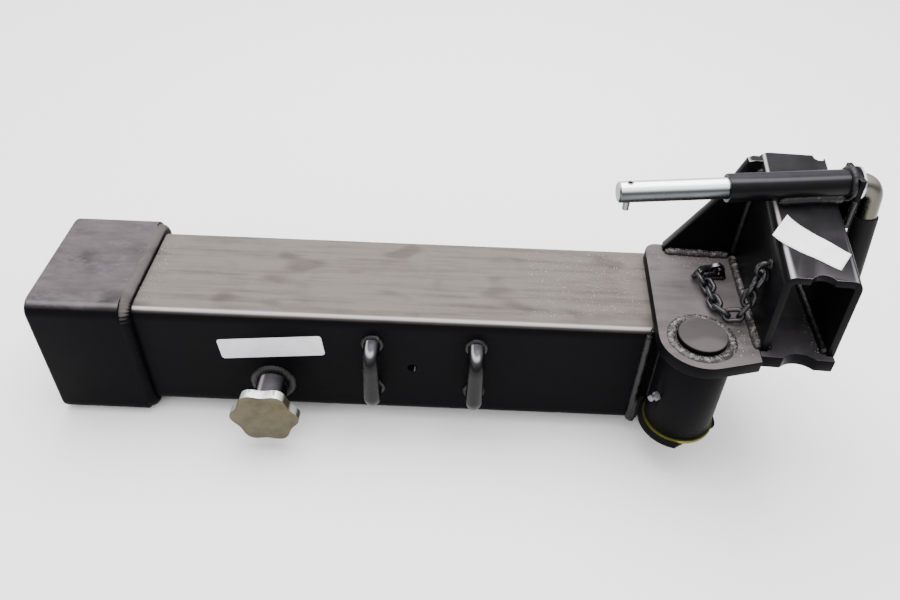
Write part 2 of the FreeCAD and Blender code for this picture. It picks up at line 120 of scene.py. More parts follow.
def beam(x, y, z):
    return Vector((x, y, z)) * MM


def receiver_top(y):
    """Height of the receiver's sloped top above the swivel plate."""
    return 81.0 + (y + 6.0) * TOP_SLOPE


def rod_axis():
    flat = math.cos(SLEEVE_RISE)
    return Vector((math.cos(SLEEVE_SKEW) * flat, math.sin(SLEEVE_SKEW) * flat, math.sin(SLEEVE_RISE)))


def along_rod(distance, across=0.0, down=0.0):
    """A point beside the lock rod's line, in the head's own frame."""
    axis = rod_axis()
    side = UP.cross(axis).normalized()
    return SLEEVE_MID + axis * distance + side * across + side.cross(axis) * down


def linear(text):
    """sRGB hex to the linear colour that a shader wants."""
    parts = [int(text[i:i + 2], 16) / 255 for i in (1, 3, 5)]
    return tuple(c / 12.92 if c <= 0.04045 else ((c + 0.055) / 1.055) ** 2.4 for c in parts) + (1.0,)


def add(tree, kind, inputs=None, **settings):
    """Add one node, set its properties, then set or link each of its inputs."""
    item = tree.nodes.new(kind)
    for key, value in settings.items():
        setattr(item, key, value)
    for key, value in (inputs or {}).items():
        if isinstance(value, bpy.types.NodeSocket):
            tree.links.new(value, item.inputs[key])
        else:
            item.inputs[key].default_value = value
    return item


def result(tree, kind, inputs=None, **settings):
    """Add one node and give its first output."""
    return add(tree, kind, inputs, **settings).outputs[0]


def calc(tree, operation, *values, clamp=False):
    """One sum on sockets or numbers."""
    return result(tree, "ShaderNodeMath", dict(enumerate(values)), operation=operation, use_clamp=clamp)


def ranged(tree, value, low, high, to_low=0.0, to_high=1.0, smooth=False):
    """A value moved from one range to another, held at its ends."""
    kind = "SMOOTHSTEP" if smooth else "LINEAR"
    values = {"Value": value, "From Min": low, "From Max": high, "To Min": to_low, "To Max": to_high}
    return add(tree, "ShaderNodeMapRange", values, interpolation_type=kind).outputs["Result"]


def mixed(tree, share, first, second):
    """Two colours mixed by a share."""
    return add(tree, "ShaderNodeMix", {0: share, 6: first, 7: second}, data_type="RGBA").outputs[2]


def noise(tree, vector, scale, detail, roughness=0.5, distortion=0.0):
    values = {"Vector": vector, "Scale": scale, "Detail": detail, "Roughness": roughness,
              "Distortion": distortion}
    return add(tree, "ShaderNodeTexNoise", values).outputs["Fac"]


def upwardness(tree):
    """The surface's normal, and how far it faces up: 1 on top, 0 upright."""
    normal = add(tree, "ShaderNodeNewGeometry").outputs["Normal"]
    return normal, add(tree, "ShaderNodeSeparateXYZ", {"Vector": normal}).outputs["Z"]


def link_object(name, data):
    piece = bpy.data.objects.new(name, data)
    bpy.context.scene.collection.objects.link(piece)
    return piece


def flattened(piece):
    """Swap a piece's mesh for its evaluated result and drop the modifiers."""
    graph = bpy.context.evaluated_depsgraph_get()
    mesh = bpy.data.meshes.new_from_object(piece.evaluated_get(graph))
    piece.modifiers.clear()
    piece.data = mesh
    return piece


def smooth(mesh, angle=32.0):
    mesh.shade_smooth()
    mesh.set_sharp_from_angle(angle=math.radians(angle))


def dress(piece, finish, body):
    piece.data.materials.clear()
    piece.data.materials.append(FINISH[finish])
    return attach(piece, body)


def coat(*pairs):
    """Put finishes on CAD nodes that keep their own mesh."""
    for node, finish in pairs:
        materials = frame["nodes"][node].data.materials
        materials.clear()
        materials.append(FINISH[finish])


def edged_copy(node, finish, body, width):
    """A merged copy of a CAD node with its sharp edges broken, as a grinder and paint leave them."""
    mesh = frame["nodes"][node].data.copy()
    shell = bmesh.new()
    shell.from_mesh(mesh)
    bmesh.ops.remove_doubles(shell, verts=shell.verts, dist=2e-6)
    bmesh.ops.dissolve_limit(shell, angle_limit=math.radians(0.4), verts=shell.verts, edges=shell.edges)
    shell.to_mesh(mesh)
    shell.free()
    mesh.name = node + "_edged"
    piece = link_object(node + "_edged", mesh)
    bevel = piece.modifiers.new("edges", "BEVEL")
    bevel.width = width * MM
    bevel.segments = 2
    bevel.limit_method = "ANGLE"
    bevel.angle_limit = math.radians(38)
    bevel.miter_outer = "MITER_ARC"
    flattened(piece)
    smooth(piece.data)
    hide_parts(node)
    return dress(piece, finish, body)


# ---- finishes ----
FINISH = {}


def new_finish(name):
    material = bpy.data.materials.new(name)
    material.use_nodes = True
    tree = material.node_tree
    shader = tree.nodes["Principled BSDF"]
    FINISH[name] = material
    return tree, shader, add(tree, "ShaderNodeTexCoord").outputs["Object"]


def join(tree, target, socket):
    tree.links.new(socket, target)


def enamel(name, dust_and_sheen_hex, share, stretch, scuff=0.0, rim=0.0, gloss=0.46, shine=0.03,
           dust_and_sheen_from=-1.0, settle=(0.55, 0.985)):
    """Black air-dry enamel sprayed on hot-rolled steel: satin, near black where it stands upright,
    and pale where it faces up, with fine shop dust and a painted sheen for the overhead light.
    Streaks follow the rolling direction. The rim is a painted highlight: a pale stripe along a
    bend, on faces turned toward the light at the left front."""
    tree, shader, place = new_finish(name)
    streak_at = result(tree, "ShaderNodeMapping", {"Vector": place, "Scale": stretch})
    streak = noise(tree, streak_at, 1.0, 4.0, roughness=0.62)
    # Blotches about 35 mm across, where the dust has been wiped or wetted.
    blotch = noise(tree, place, 1 / (35 * MM), 6.0, roughness=0.58, distortion=0.6)
    # Dust grain about 2 mm, drawn coarser than real so that it shows.
    grain = noise(tree, place, 1 / (2 * MM), 3.0)
    normal, upward = upwardness(tree)
    lies = ranged(tree, upward, settle[0], settle[1], smooth=True)
    # Inside the tube the dust and painted sheen are left out, so the hollow stays black as painted shade;
    # they start at a height in the object's own coordinates.
    height = add(tree, "ShaderNodeSeparateXYZ", {"Vector": place}).outputs["Z"]
    outside = calc(tree, "GREATER_THAN", height, dust_and_sheen_from)
    lies = calc(tree, "MULTIPLY", lies, outside)
    uneven = calc(tree, "MULTIPLY_ADD", streak, 1.3, share - 0.65)
    uneven = calc(tree, "MULTIPLY_ADD", blotch, 0.5, uneven)
    uneven = calc(tree, "SUBTRACT", uneven, 0.25)
    uneven = calc(tree, "MULTIPLY_ADD", grain, 0.16, uneven)
    # The pale layer where it faces up: shop dust, with painted sheen for the overhead light's reflection.
    dust_and_sheen = calc(tree, "MULTIPLY", lies, uneven, clamp=True)
    colour = mixed(tree, dust_and_sheen, linear(PAINT_BLACK), linear(dust_and_sheen_hex))
    # Thumbed or oily spots 40 to 70 mm across.
    spot_at = result(tree, "ShaderNodeMapping", {"Vector": place, "Scale": (19, 32, 32)})
    spot = noise(tree, spot_at, 1.0, 1.0)
    oily = ranged(tree, spot, 0.56, 0.7, to_high=0.3, smooth=True)
    colour = mixed(tree, oily, colour, linear(PAINT_BLACK))
    if scuff:
        # Scuffs: smears of purple-grey rubbed metal, 15 to 40 mm long.
        smear_at = result(tree, "ShaderNodeMapping", {"Vector": place, "Rotation": (0, 0, 0.5),
                                                      "Scale": (34, 60, 34)})
        smear = noise(tree, smear_at, 1.0, 7.0, roughness=0.7)
        rubbed = ranged(tree, smear, 0.52, 0.68, to_high=scuff)
        rubbed = calc(tree, "MULTIPLY", rubbed, lies)
        colour = mixed(tree, rubbed, colour, linear(RUBBED_METAL))
    if rim:
        # Painted highlight: a pale stripe along bends, on faces turned toward the light at the left
        # front.
        rises = ranged(tree, upward, 0.72, 0.86, smooth=True)
        falls = ranged(tree, upward, 0.87, 0.95, to_low=rim, to_high=0.0, smooth=True)
        toward = (-0.7, -0.7, 0.0)
        facing = add(tree, "ShaderNodeVectorMath", {0: normal, 1: toward}, operation="DOT_PRODUCT")
        near = ranged(tree, facing.outputs["Value"], -0.1, 0.15)
        highlight_band = calc(tree, "MULTIPLY", rises, falls)
        highlight_band = calc(tree, "MULTIPLY", highlight_band, near)
        colour = mixed(tree, highlight_band, colour, linear(PAINTED_RIM_HIGHLIGHT))
    join(tree, shader.inputs["Base Color"], colour)
    rough = calc(tree, "MULTIPLY_ADD", dust_and_sheen, 0.22, gloss)
    rough = calc(tree, "MULTIPLY_ADD", blotch, 0.16, rough)
    join(tree, shader.inputs["Roughness"], calc(tree, "SUBTRACT", rough, 0.08))
    # Orange peel of sprayed paint, cells about 1.6 mm, over the slow waves of rolled plate.
    peel = noise(tree, place, 1 / (1.6 * MM), 2.0)
    fine = result(tree, "ShaderNodeBump", {"Height": peel, "Strength": 0.16, "Distance": 0.3 * MM})
    wave = result(tree, "ShaderNodeBump", {"Height": streak, "Strength": 0.25, "Distance": 0.8 * MM,
                                           "Normal": fine})
    join(tree, shader.inputs["Normal"], wave)
    shader.inputs["Specular IOR Level"].default_value = shine


def weld_finish(name, low_hex, crest_highlight_hex, metal, gloss, least=0.58, most=0.72):
    """Mild-steel weld bead, brushed and painted over: glossy, with a painted highlight on its crests that
    face up.
    """
    tree, shader, place = new_finish(name)
    spots = noise(tree, place, 1 / (4 * MM), 4.0, roughness=0.65)
    upward = upwardness(tree)[1]
    lit = ranged(tree, upward, 0.2, 0.95)
    crest = ranged(tree, spots, least, most)
    bright = calc(tree, "MULTIPLY", lit, crest)
    colour = mixed(tree, bright, linear(low_hex), linear(crest_highlight_hex))
    join(tree, shader.inputs["Base Color"], colour)
    rough = ranged(tree, spots, 0.0, 1.0, to_low=gloss - 0.08, to_high=gloss + 0.22)
    join(tree, shader.inputs["Roughness"], rough)
    bump = result(tree, "ShaderNodeBump", {"Height": spots, "Strength": 0.3, "Distance": 0.6 * MM})
    join(tree, shader.inputs["Normal"], bump)
    shader.inputs["Metallic"].default_value = metal
    shader.inputs["Specular IOR Level"].default_value = 0.3


def metal_finish(name, clean_hex, stain_hex, gloss, spot_mm, metal=1.0, stain=0.6, painted_top_highlight_hex=None):
    """Plated or bare steel: clean metal with cloudy stains, fine scratches and uneven gloss. The
    upper colour is a painted highlight, laid on the side that faces up."""
    tree, shader, place = new_finish(name)
    cloud = noise(tree, place, 1 / (spot_mm * MM), 6.0, roughness=0.6)
    share = ranged(tree, cloud, 0.42, 0.66, to_high=stain)
    colour = mixed(tree, share, linear(clean_hex), linear(stain_hex))
    if painted_top_highlight_hex:
        # The upper colour is a painted highlight on the side that faces up.
        upward = upwardness(tree)[1]
        painted_top_highlight = ranged(tree, upward, 0.42, 0.74, smooth=True)
        colour = mixed(tree, painted_top_highlight, colour, linear(painted_top_highlight_hex))
    join(tree, shader.inputs["Base Color"], colour)
    # Turning and handling marks about 0.8 mm apart.
    marks_at = result(tree, "ShaderNodeMapping", {"Vector": place, "Scale": (90, 900, 900)})
    marks = noise(tree, marks_at, 1.0, 3.0)
    rough = calc(tree, "MULTIPLY_ADD", cloud, 0.3, gloss - 0.15)
    join(tree, shader.inputs["Roughness"], calc(tree, "MULTIPLY_ADD", marks, 0.1, rough))
    bump = result(tree, "ShaderNodeBump", {"Height": marks, "Strength": 0.12, "Distance": 0.15 * MM})
    join(tree, shader.inputs["Normal"], bump)
    shader.inputs["Metallic"].default_value = metal


def rod_plating(name):
    """Bright zinc on a drawn bar, gone straw and dull past the point where it was bent hot."""
    before, after = 0.004, 0.002
    # The plating is given dark, as painted shade on the rod's sides and underside, under a near-white
    # painted highlight along its top.
    metal_finish(name, "#5f6264", "#4f5153", 0.22, 30, painted_top_highlight_hex="#fafcfd")
    tree = FINISH[name].node_tree
    shader = tree.nodes["Principled BSDF"]
    place = add(tree, "ShaderNodeTexCoord").outputs["Object"]
    along = add(tree, "ShaderNodeSeparateXYZ", {"Vector": place}).outputs["X"]
    bend_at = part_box("rod_washer")[1][0]
    heat = ranged(tree, along, bend_at - before, bend_at + after, to_high=0.85)
    plain = shader.inputs["Base Color"].links[0].from_socket
    straw = mixed(tree, heat, plain, linear(HEAT_STRAW))
    join(tree, shader.inputs["Base Color"], straw)


def moulded_rubber(name):
    """Dipped vinyl grip: matte black, faintly pebbled, with a cloudy tone."""
    tree, shader, place = new_finish(name)
    pebble = noise(tree, place, 1 / (1.1 * MM), 2.0)
    cloud = noise(tree, place, 1 / (18 * MM), 5.0)
    colour = mixed(tree, cloud, linear("#0a0a0b"), linear("#141315"))
    join(tree, shader.inputs["Base Color"], colour)
    rough = ranged(tree, cloud, 0.0, 1.0, to_low=0.5, to_high=0.72)
    join(tree, shader.inputs["Roughness"], rough)
    bump = result(tree, "ShaderNodeBump", {"Height": pebble, "Strength": 0.2, "Distance": 0.2 * MM})
    join(tree, shader.inputs["Normal"], bump)
    shader.inputs["Specular IOR Level"].default_value = 0.12


def paper_finish(name, base_hex, shade_hex, gloss):
    """White film or crepe paper: nearly even, with faint smudges and a fine crepe."""
    tree, shader, place = new_finish(name)
    smudge = noise(tree, place, 1 / (14 * MM), 5.0)
    share = ranged(tree, smudge, 0.45, 0.8)
    colour = mixed(tree, share, linear(base_hex), linear(shade_hex))
    join(tree, shader.inputs["Base Color"], colour)
    crepe = noise(tree, place, 1 / (1.5 * MM), 2.0)
    bump = result(tree, "ShaderNodeBump", {"Height": crepe, "Strength": 0.1, "Distance": 0.2 * MM})
    join(tree, shader.inputs["Normal"], bump)
    rough = ranged(tree, smudge, 0.0, 1.0, to_low=gloss, to_high=gloss + 0.2)
    join(tree, shader.inputs["Roughness"], rough)


# ---- Geometry Nodes ----
def new_tree(name, inputs):
    """A node tree with a geometry in and out and the named inputs."""
    tree = bpy.data.node_groups.new(name, "GeometryNodeTree")
    tree.interface.new_socket("Geometry", in_out="INPUT", socket_type="NodeSocketGeometry")
    for label, kind, value in inputs:
        socket = tree.interface.new_socket(label, in_out="INPUT", socket_type=kind)
        if value is not None:
            socket.default_value = value
    tree.interface.new_socket("Geometry", in_out="OUTPUT", socket_type="NodeSocketGeometry")
    return tree, add(tree, "NodeGroupInput").outputs


def finish_tree(tree, given, geometry):
    real = result(tree, "GeometryNodeRealizeInstances", {"Geometry": geometry})
    shaded = result(tree, "GeometryNodeSetShadeSmooth", {"Geometry": real})
    values = {"Geometry": shaded, "Material": given["Material"]}
    painted = result(tree, "GeometryNodeSetMaterial", values)
    add(tree, "NodeGroupOutput", {"Geometry": painted})
    return tree


def bead_tree():
    """A weld bead along an edge path: a round section with ripples, lumps and tapered ends."""
    tree, given = new_tree("weld_bead", (
        ("Radius", "NodeSocketFloat", 0.004), ("Ripple pitch", "NodeSocketFloat", 0.003),
        ("Ripple height", "NodeSocketFloat", 0.0005), ("Lumps", "NodeSocketFloat", 0.0006),
        ("Seed", "NodeSocketFloat", 0.0), ("Taper", "NodeSocketFloat", 1.0),
        ("Material", "NodeSocketMaterial", None)))
    curve = result(tree, "GeometryNodeMeshToCurve", {"Mesh": given["Geometry"]})
    spaced = {"Curve": curve, "Length": 0.8 * MM}
    curve = result(tree, "GeometryNodeResampleCurve", spaced, mode="LENGTH")
    run = add(tree, "GeometryNodeSplineParameter")
    whole = add(tree, "GeometryNodeSplineLength").outputs["Length"]
    left = calc(tree, "SUBTRACT", whole, run.outputs["Length"])
    nearest = calc(tree, "MINIMUM", run.outputs["Length"], left)
    reach = calc(tree, "MULTIPLY", given["Radius"], 1.4)
    share = calc(tree, "DIVIDE", nearest, reach, clamp=True)
    ends = calc(tree, "SUBTRACT", 1.0, share)
    ends = calc(tree, "MULTIPLY", ends, ends)
    ends = calc(tree, "MULTIPLY", ends, given["Taper"])
    ends = calc(tree, "MULTIPLY", ends, given["Radius"])
    ends = calc(tree, "MULTIPLY", ends, 0.65)
    kept = add(tree, "GeometryNodeCaptureAttribute", {"Geometry": curve}, domain="POINT")
    kept.capture_items.new("FLOAT", "Run")
    kept.capture_items.new("FLOAT", "Ends")
    join(tree, kept.inputs["Run"], run.outputs["Length"])
    join(tree, kept.inputs["Ends"], ends)
    section = {"Resolution": 14, "Radius": given["Radius"]}
    section = result(tree, "GeometryNodeCurvePrimitiveCircle", section)
    body = result(tree, "GeometryNodeCurveToMesh", {"Curve": kept.outputs[0], "Profile Curve": section,
                                                    "Fill Caps": True})
    place = result(tree, "GeometryNodeInputPosition")
    shift = result(tree, "ShaderNodeCombineXYZ", {"X": given["Seed"]})
    noise_at = result(tree, "ShaderNodeVectorMath", {0: place, 1: shift}, operation="ADD")
    lump = noise(tree, noise_at, 1 / (7 * MM), 3.0)
    lump = calc(tree, "SUBTRACT", lump, 0.5)
    lump = calc(tree, "MULTIPLY", lump, given["Lumps"])
    turns = calc(tree, "DIVIDE", kept.outputs["Run"], given["Ripple pitch"])
    phase = calc(tree, "MULTIPLY", turns, math.pi)
    wave = calc(tree, "SINE", phase)
    wave = calc(tree, "ABSOLUTE", wave)
    wave = calc(tree, "MULTIPLY", wave, given["Ripple height"])
    rise = calc(tree, "ADD", wave, lump)
    rise = calc(tree, "SUBTRACT", rise, kept.outputs["Ends"])
    normal = result(tree, "GeometryNodeInputNormal")
    push = result(tree, "ShaderNodeVectorMath", {0: normal, "Scale": rise}, operation="SCALE")
    moved = result(tree, "GeometryNodeSetPosition", {"Geometry": body, "Offset": push})
    return finish_tree(tree, given, moved)


def spatter_tree():
    """Weld spatter: small round drops scattered over a surface."""
    tree, given = new_tree("weld_spatter", (
        ("Density", "NodeSocketFloat", 9000.0), ("Smallest", "NodeSocketFloat", 0.0004),
        ("Largest", "NodeSocketFloat", 0.0012), ("Seed", "NodeSocketInt", 3),
        ("Material", "NodeSocketMaterial", None)))
    points = add(tree, "GeometryNodeDistributePointsOnFaces", {
        "Mesh": given["Geometry"], "Density": given["Density"], "Seed": given["Seed"]}).outputs["Points"]
    drop = add(tree, "GeometryNodeMeshIcoSphere", {"Radius": 1.0, "Subdivisions": 1}).outputs["Mesh"]
    size = add(tree, "FunctionNodeRandomValue", {"Min": given["Smallest"], "Max": given["Largest"],
                                                 "Seed": given["Seed"]}, data_type="FLOAT")
    value = next(o for o in size.outputs if o.enabled)
    scattered = {"Points": points, "Instance": drop, "Scale": value}
    drops = result(tree, "GeometryNodeInstanceOnPoints", scattered)
    return finish_tree(tree, given, drops)


def chain_tree():
    """Welded chain: equal links along a route, each turned a quarter from the last."""
    tree, given = new_tree("chain_links", (
        ("Links", "NodeSocketInt", 12), ("Link length", "NodeSocketFloat", 0.0166),
        ("Link width", "NodeSocketFloat", 0.0096), ("Wire radius", "NodeSocketFloat", 0.0022),
        ("Material", "NodeSocketMaterial", None)))
    route = result(tree, "GeometryNodeMeshToCurve", {"Mesh": given["Geometry"]})
    spaced = {"Curve": route, "Count": given["Links"]}
    route = result(tree, "GeometryNodeResampleCurve", spaced, mode="COUNT")
    outline = result(tree, "GeometryNodeCurvePrimitiveQuadrilateral", {
        "Width": given["Link length"], "Height": given["Link width"]})
    corner = calc(tree, "MULTIPLY", given["Link width"], 0.49)
    outline = result(tree, "GeometryNodeFilletCurve", {"Curve": outline, "Radius": corner, "Count": 6,
                                                       "Limit Radius": True}, mode="POLY")
    section = {"Resolution": 12, "Radius": given["Wire radius"]}
    wire = result(tree, "GeometryNodeCurvePrimitiveCircle", section)
    shape = result(tree, "GeometryNodeCurveToMesh", {"Curve": outline, "Profile Curve": wire})
    tangent = result(tree, "GeometryNodeInputTangent")
    turn = result(tree, "FunctionNodeAlignRotationToVector", {"Vector": tangent}, axis="X",
                  pivot_axis="AUTO")
    index = result(tree, "GeometryNodeInputIndex")
    odd = calc(tree, "MODULO", index, 2.0)
    quarter = calc(tree, "MULTIPLY_ADD", odd, math.pi / 2, -math.pi / 4)
    # The end links stand square in the lug and the staple.
    last = calc(tree, "SUBTRACT", given["Links"], 1.5)
    after_first = calc(tree, "GREATER_THAN", index, 0.5)
    before_last = calc(tree, "LESS_THAN", index, last)
    middle = calc(tree, "MULTIPLY", after_first, before_last)
    quarter = calc(tree, "MULTIPLY", quarter, middle)
    angles = result(tree, "ShaderNodeCombineXYZ", {"X": quarter})
    twist = result(tree, "FunctionNodeEulerToRotation", {0: angles})
    turn = result(tree, "FunctionNodeRotateRotation", {0: turn, 1: twist}, rotation_space="LOCAL")
    placed = {"Points": route, "Instance": shape, "Rotation": turn}
    links = result(tree, "GeometryNodeInstanceOnPoints", placed)
    return finish_tree(tree, given, links)


def path_mesh(name, points, closed=False):
    mesh = bpy.data.meshes.new(name)
    edges = [(i, i + 1) for i in range(len(points) - 1)]
    if closed:
        edges.append((len(points) - 1, 0))
    mesh.from_pydata([tuple(p) for p in points], edges, [])
    return mesh


def grown(name, mesh, tree, values):
    """Run a tree on a mesh with the named values set, and keep the plain result."""
    piece = link_object(name, mesh)
    modifier = piece.modifiers.new("grow", "NODES")
    modifier.node_group = tree
    sockets = {s.name: s.identifier for s in tree.interface.items_tree
               if s.item_type == "SOCKET" and s.in_out == "INPUT"}
    for label, value in values.items():
        modifier[sockets[label]] = value
    return flattened(piece)


def joined(name, pieces):
    """One mesh from several, for all the beads that ride on one body."""
    shell = bmesh.new()
    for piece in pieces:
        shell.from_mesh(piece.data)
    mesh = bpy.data.meshes.new(name)
    shell.to_mesh(mesh)
    shell.free()
    for piece in pieces:
        bpy.data.objects.remove(piece)
    mesh.shade_smooth()
    return link_object(name, mesh)


def ring(middle, normal, radius, steps=40):
    """Points round a circle, in the units of its middle."""
    normal = Vector(normal).normalized()
    first = normal.orthogonal().normalized()
    second = normal.cross(first)
    angles = [2 * math.pi * i / steps for i in range(steps)]
    return [Vector(middle) + (first * math.cos(a) + second * math.sin(a)) * radius for a in angles]


def square_loop(x, half, corner, steps=6):
    """A rounded square across the tube at one place along it."""
    points = []
    for quarter in range(4):
        base = quarter * math.pi / 2
        cy = (half - corner) * (1 if quarter in (0, 3) else -1)
        cz = (half - corner) * (1 if quarter in (0, 1) else -1)
        for i in range(steps + 1):
            a = base + math.pi / 2 * i / steps
            points.append(Vector((x, cy + corner * math.cos(a), cz + corner * math.sin(a))))
    return points


def beads(name, plan, body, finish, convert):
    """Grow every bead of a plan and join them into one piece on one body."""
    sizes = bpy.context.scene.wheel_lift_sizes
    tree = bpy.data.node_groups.get("weld_bead") or bead_tree()
    made = []
    for i, (radius, lumps, closed, points) in enumerate(plan):
        path = path_mesh(f"{name}_path_{i}", [convert(*p) for p in points], closed)
        made.append(grown(f"{name}_{i}", path, tree, {
            "Radius": radius * MM, "Lumps": lumps * MM, "Seed": 0.37 * i, "Taper": 0.0 if closed else 1.0,
            "Ripple pitch": sizes.ripple_pitch, "Ripple height": sizes.ripple_height,
            "Material": FINISH[finish]}))
    piece = joined(name, made)
    return dress(piece, finish, body)


# ---- settings ----
class WheelLiftSizes(bpy.types.PropertyGroup):
    edge_width: FloatProperty(name="Edge", description="Width of the broken edges on plates",
                              default=0.9, min=0.1, max=3.0)
    ripple_pitch: FloatProperty(name="Ripple pitch", description="Distance between weld ripples",
                                default=2.6 * MM, unit="LENGTH")
    ripple_height: FloatProperty(name="Ripple height", description="Height of weld ripples",
                                 default=0.45 * MM, unit="LENGTH")
    spatter_density: FloatProperty(name="Spatter", description="Drops of spatter per square metre",
                                   default=52000.0, min=0.0)
    spatter_largest: FloatProperty(name="Largest drop", description="Radius of the largest drop",
                                   default=0.46 * MM, unit="LENGTH")
    links: IntProperty(name="Links", description="Number of links in the safety chain",
                       default=12, min=3)
    seed: IntProperty(name="Seed", description="Fixed seed of everything scattered", default=7)


class WheelLiftColours(bpy.types.PropertyGroup):
    floor: FloatVectorProperty(name="Floor", description="Colour of the studio floor", size=3,
                               subtype="COLOR", default=(0.97, 0.97, 0.97))
    sky: FloatVectorProperty(name="Surround", description="Colour of the studio surround", size=3,
                             subtype="COLOR", default=(1.0, 1.0, 1.0))
    key_power: FloatProperty(name="Overhead light", description="Power of the overhead soft box",
                             default=48.0, subtype="POWER")
    sky_strength: FloatProperty(name="Surround strength", description="Strength of the surround",
                                default=1.55, min=0.0)


# ---- operators ----
class WHEELLIFT_OT_finishes(bpy.types.Operator):
    """Make the paints, platings, rubber and label film"""
    bl_idname = "wheellift.finishes"
    bl_label = "Finishes"

    def execute(self, context):
        # Each enamel's second colour is its dust and painted sheen where it faces up, kept dark on
        # shaded_enamel as painted shade; rim sets the painted highlight along bends.
        # Streaks run along the tube: about 9 mm wide and 120 mm long.
        enamel("tube_enamel", "#6b6460", 0.85, (8, 110, 110), rim=0.85, dust_and_sheen_from=0.0)
        enamel("bead_enamel", "#565150", 0.9, (60, 60, 60), dust_and_sheen_from=0.0, settle=(0.18, 0.62))
        enamel("collar_enamel", "#575153", 0.8, (22, 60, 60), scuff=0.9, rim=0.15, dust_and_sheen_from=0.0)
        enamel("plate_enamel", "#605a5b", 0.85, (10, 60, 60), rim=0.25)
        enamel("receiver_enamel", "#2c2a2d", 0.5, (30, 30, 30), rim=0.9, gloss=0.3, shine=0.05)
        enamel("pin_enamel", "#54504f", 0.95, (40, 40, 40), gloss=0.4)
        enamel("bar_enamel", "#4c4a4f", 0.8, (60, 60, 60), rim=0.6, gloss=0.26, shine=0.18)
        enamel("sleeve_enamel", "#2b2a2f", 0.6, (60, 60, 60), rim=0.12, gloss=0.3, shine=0.1)
        enamel("floor_enamel", "#403d40", 0.7, (40, 12, 40), rim=0.1, gloss=0.3)
        enamel("shaded_enamel", "#1c1b1d", 0.5, (60, 60, 60))
        # Each weld's second colour is a painted highlight on the crests that face up.
        weld_finish("dark_weld", "#0c0b0d", "#5a5655", 0.0, 0.3)
        weld_finish("bright_weld", "#2e2b2c", "#8f8b88", 0.1, 0.2, least=0.48, most=0.74)
        weld_finish("spatter_drops", "#85807c", "#d8d3ce", 0.1, 0.3, least=0.2, most=0.5)
        # Bright zinc on the rod, dulled to straw where it was bent hot.
        metal_finish("bright_zinc", "#d4d6d8", "#a3a4a4", 0.2, 30)
        rod_plating("rod_zinc")
        metal_finish("yellow_zinc", "#77763c", "#4a4929", 0.42, 12)
        metal_finish("spring_wire", "#8a8a8c", "#5c5b5d", 0.38, 10)
        metal_finish("bronze", "#9a7b48", "#5f4c2f", 0.4, 14)
        # Knob: dull zinc-plated stamping with an olive cast, and a painted highlight on its upper side.
        metal_finish("knob_zinc", "#544e3a", "#403b2b", 0.38, 16, metal=0.7, stain=0.8,
                     painted_top_highlight_hex="#e2e4e6")
        metal_finish("chain_black", "#0d0d10", "#2b2a2f", 0.2, 9, metal=0.1)
        moulded_rubber("black_grip")
        paper_finish("label_film", "#dad9de", "#c9c8cd", 0.35)
        paper_finish("masking_tape", "#fbfafa", "#ebe8e9", 0.6)
        return {"FINISHED"}


class WHEELLIFT_OT_beam(bpy.types.Operator):
    """Dress the tube, its collar, cap, saddle, barrel and loops"""
    bl_idname = "wheellift.beam"
    bl_label = "Tube and pivot barrel"

    def execute(self, context):
        width = context.scene.wheel_lift_sizes.edge_width
        edged_copy("end_collar", "collar_enamel", "beam", width)
        edged_copy("end_cap", "tube_enamel", "beam", 0.5 * width)
        edged_copy("pivot_barrel", "tube_enamel", "beam", width)
        edged_copy("plunger_housing", "bar_enamel", "beam", width)
        coat(("main_tube", "tube_enamel"), ("pivot_saddle", "tube_enamel"), ("upper_bushing", "bronze"),
             ("lower_bushing", "bronze"), ("grease_nipple", "spring_wire"),
             ("upper_thrust_washer", "bronze"), ("chain_loop_left", "bar_enamel"),
             ("chain_loop_right", "bar_enamel"))
        return {"FINISHED"}


class WHEELLIFT_OT_head(bpy.types.Operator):
    """Dress the swivel plate, receiver, gusset, sleeve and pin"""
    bl_idname = "wheellift.head"
    bl_label = "Swivel head"

    def execute(self, context):
        width = context.scene.wheel_lift_sizes.edge_width
        edged_copy("swivel_plate", "plate_enamel", "head", width)
        edged_copy("receiver_floor", "floor_enamel", "head", width)
        edged_copy("receiver_channel", "receiver_enamel", "head", width)
        edged_copy("gusset_plate", "receiver_enamel", "head", width)
        edged_copy("rod_sleeve", "sleeve_enamel", "head", width)
        edged_copy("rod_stop_plate", "receiver_enamel", "head", 0.6 * width)
        edged_copy("chain_lug", "receiver_enamel", "head", 0.6 * width)
        edged_copy("pivot_pin", "pin_enamel", "head", 0.5 * width)
        edged_copy("retainer_disc", "shaded_enamel", "head", 0.6 * width)
        coat(("retainer_bolt", "bright_zinc"), ("retainer_lock_washer", "bright_zinc"),
             ("lower_thrust_washer", "yellow_zinc"), ("chain_staple", "chain_black"))
        return {"FINISHED"}


class WHEELLIFT_OT_rod(bpy.types.Operator):
    """Dress the lock rod, its cross pin, washer and grip"""
    bl_idname = "wheellift.rod"
    bl_label = "Lock rod"

    def execute(self, context):
        coat(("lock_rod", "rod_zinc"), ("rod_roll_pin", "spring_wire"), ("rod_washer", "bright_zinc"),
             ("rod_grip", "black_grip"))
        return {"FINISHED"}


class WHEELLIFT_OT_plunger(bpy.types.Operator):
    """Dress the spring plunger's pin and lobed knob"""
    bl_idname = "wheellift.plunger"
    bl_label = "Plunger"

    def execute(self, context):
        edged_copy("plunger_knob", "knob_zinc", "plunger", 1.2)
        coat(("plunger_pin", "bright_zinc"))
        # The coil is a plain copy of the spring, dressed on the beam.
        coil = link_object("coil_spring", frame["nodes"]["plunger_spring"].data.copy())
        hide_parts("plunger_spring")
        dress(coil, "spring_wire", "beam")
        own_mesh(coil)
        return {"FINISHED"}


